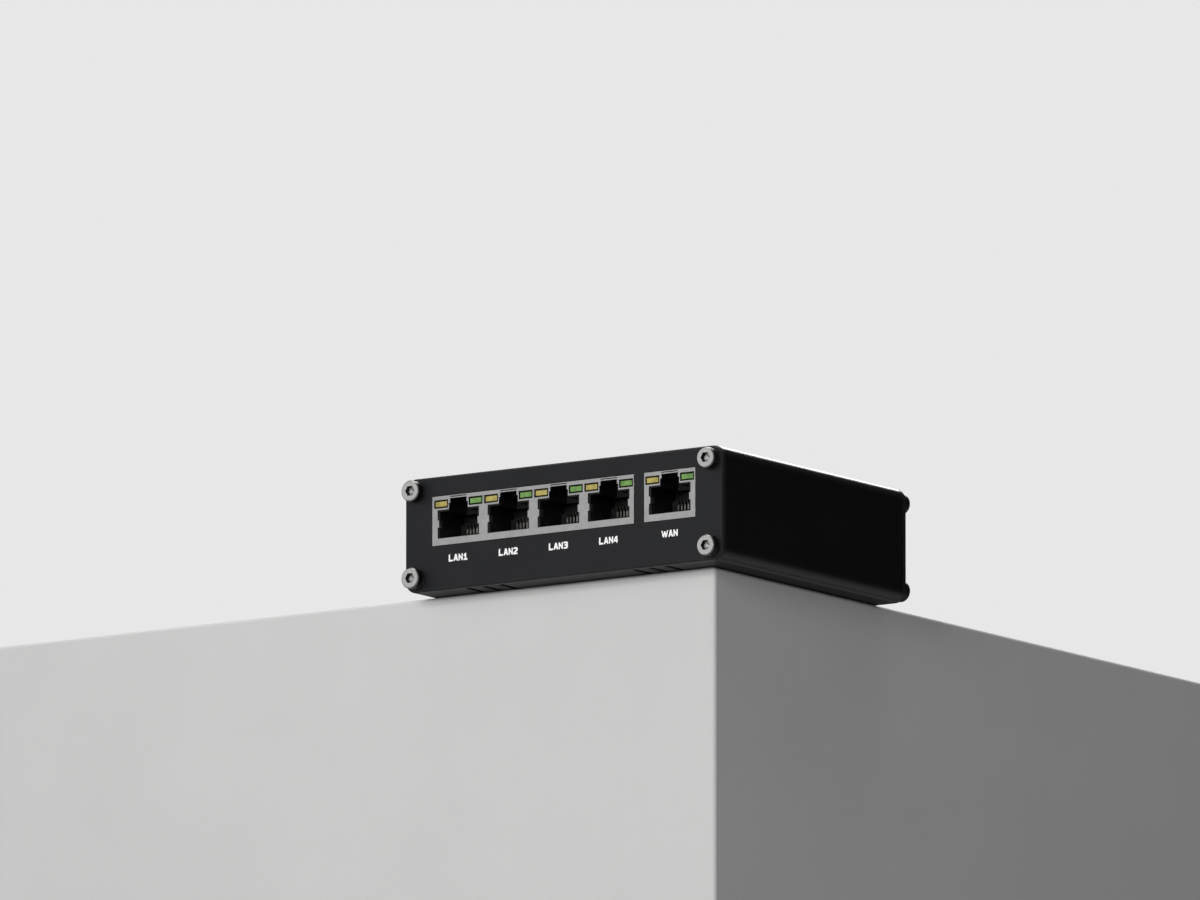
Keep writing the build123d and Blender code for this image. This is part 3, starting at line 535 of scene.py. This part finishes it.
# piece, word, the node whose middle it lines up with, the panel it is on
names = [(f"lan{port}_name", f"LAN{port}", f"lan{port}_contacts", FRONT) for port in range(1, 5)]
names += [
    ("wan_name", "WAN", "wan_contacts", FRONT),
    ("power_name", "PWR", "power_socket", REAR),
    ("reset_name", "RESET", "reset_plunger", REAR),
]
for name, word, node, facing in names:
    low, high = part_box(node)
    printed_word(name, word, Vector(((low.x + high.x) / 2, panel_y[facing], NAME_LEVEL)), facing)


# ---- Stage: a pale plinth, lights and camera --------------------------------------------------
def plaster():
    """Pale matt plaster with a faint mottle."""
    f = Finish("pale_plaster")
    mottle = f.noise(0.03, detail=5.0)
    fine = f.noise(1.5, detail=4.0)
    f.set(
        Base_Color=f.colours(mottle, (0.675, 0.675, 0.67), (0.7, 0.7, 0.695)),
        Roughness=f.between(mottle, 0.85, 0.95),
        Specular_IOR_Level=0.2,
        Normal=f.bump(fine, strength=0.05, depth_mm=0.05),
    )
    return f.material


def plinth():
    """A large pale block; the object overhangs its front right corner a little."""
    overhang_front, overhang_right = 9.0 * MM, 8.7 * MM
    edge_radius = 1.0 * MM
    reach = 1.6  # metres, from that corner to the block's far sides and foot
    high = Vector((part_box("housing")[1].x - overhang_right, front_y + reach, cad_box[0].z))
    low = Vector((high.x - reach, front_y + overhang_front, high.z - reach))
    bm = bmesh.new()
    bmesh.ops.create_cube(bm, size=1.0)
    for vert in bm.verts:
        share = vert.co + Vector((0.5, 0.5, 0.5))
        vert.co = [low[axis] + share[axis] * (high[axis] - low[axis]) for axis in range(3)]
    bmesh.ops.bevel(
        bm, geom=list(bm.edges), offset=edge_radius, segments=4, profile=0.5, affect="EDGES"
    )
    new_object("plinth", bm, plaster())


# name, direction from the object, distance in metres, size in metres, power in watts
LIGHTS = (
    ("key_left", (-0.55, -0.85, 0.18), 1.1, (1.3, 0.8), 2.8),
    ("front_fill", (0.2, -0.97, 0.12), 1.2, (0.4, 0.4), 7.5),
    ("overhead", (-0.1, 0.1, 1.0), 0.9, (0.6, 0.6), 6.0),
    ("rim_back", (-0.43, 0.81, 0.4), 0.9, (0.3, 0.3), 1.3),  # the bright line on the top edge
    ("rear_fill", (-0.5, 0.9, 0.9), 1.2, (0.7, 0.5), 4.5),
)


def softboxes(aim):
    for name, direction, distance, size, watts in LIGHTS:
        lamp = bpy.data.lights.new(name, "AREA")
        lamp.shape = "RECTANGLE"
        lamp.size, lamp.size_y = size
        lamp.energy = watts
        holder = bpy.data.objects.new(name, lamp)
        holder.location = aim + Vector(direction).normalized() * distance
        holder.rotation_euler = (aim - holder.location).to_track_quat("-Z", "Y").to_euler()
        bpy.context.scene.collection.objects.link(holder)


def surroundings():
    """A pale backdrop for the camera; the object sees a dim room above and a paler floor below."""
    backdrop, room, floor = 0.8, 0.06, 0.45
    floor_below, room_above = -0.45, -0.1  # the upward part of a direction
    world = bpy.data.worlds.new("studio")
    world.use_nodes = True
    tree = world.node_tree
    seen = tree.nodes.new("ShaderNodeBackground")
    seen.inputs["Color"].default_value = (backdrop, backdrop, backdrop, 1.0)
    unseen = tree.nodes["Background"]
    unseen.inputs["Color"].default_value = (1.0, 1.0, 1.0, 1.0)
    direction = tree.nodes.new("ShaderNodeTexCoord")
    axes = tree.nodes.new("ShaderNodeSeparateXYZ")
    strength = tree.nodes.new("ShaderNodeMapRange")
    fade = {"From Min": floor_below, "From Max": room_above, "To Min": floor, "To Max": room}
    for socket, value in fade.items():
        strength.inputs[socket].default_value = value
    tree.links.new(direction.outputs["Generated"], axes.inputs["Vector"])
    tree.links.new(axes.outputs["Z"], strength.inputs["Value"])
    tree.links.new(strength.outputs["Result"], unseen.inputs["Strength"])
    ray = tree.nodes.new("ShaderNodeLightPath")
    choice = tree.nodes.new("ShaderNodeMixShader")
    tree.links.new(ray.outputs["Is Camera Ray"], choice.inputs["Fac"])
    tree.links.new(unseen.outputs["Background"], choice.inputs[1])
    tree.links.new(seen.outputs["Background"], choice.inputs[2])
    tree.links.new(choice.outputs["Shader"], tree.nodes["World Output"].inputs["Surface"])
    bpy.context.scene.world = world


def camera(middle):
    """A very long lens, to the right of the front panel's normal and a little below the object."""
    azimuth, elevation = math.radians(34.5), math.radians(-9.6)
    lens_mm, sensor_mm = 1000.0, 36.0
    field_width = 0.3124  # metres across the picture, at the object's distance
    right_of_middle, below_middle = 14.6 * MM, 23.8 * MM  # where the object is in the picture
    back = Vector((
        math.sin(azimuth) * math.cos(elevation),
        -math.cos(azimuth) * math.cos(elevation),
        math.sin(elevation),
    ))
    turn = (-back).to_track_quat("-Z", "Y")
    right, up = turn @ Vector((1, 0, 0)), turn @ Vector((0, 1, 0))
    data = bpy.data.cameras.new("camera")
    data.lens, data.sensor_width = lens_mm, sensor_mm
    data.clip_start, data.clip_end = 0.5, 20.0
    holder = bpy.data.objects.new("camera", data)
    aim = middle - right * right_of_middle + up * below_middle
    holder.location = aim + back * (field_width * lens_mm / sensor_mm)
    holder.rotation_mode = "QUATERNION"
    holder.rotation_quaternion = turn
    bpy.context.scene.collection.objects.link(holder)
    bpy.context.scene.camera = holder
    bpy.context.scene.view_settings.view_transform = "Standard"


object_middle = (cad_box[0] + cad_box[1]) / 2
plinth()
softboxes(object_middle)
surroundings()
camera(object_middle)
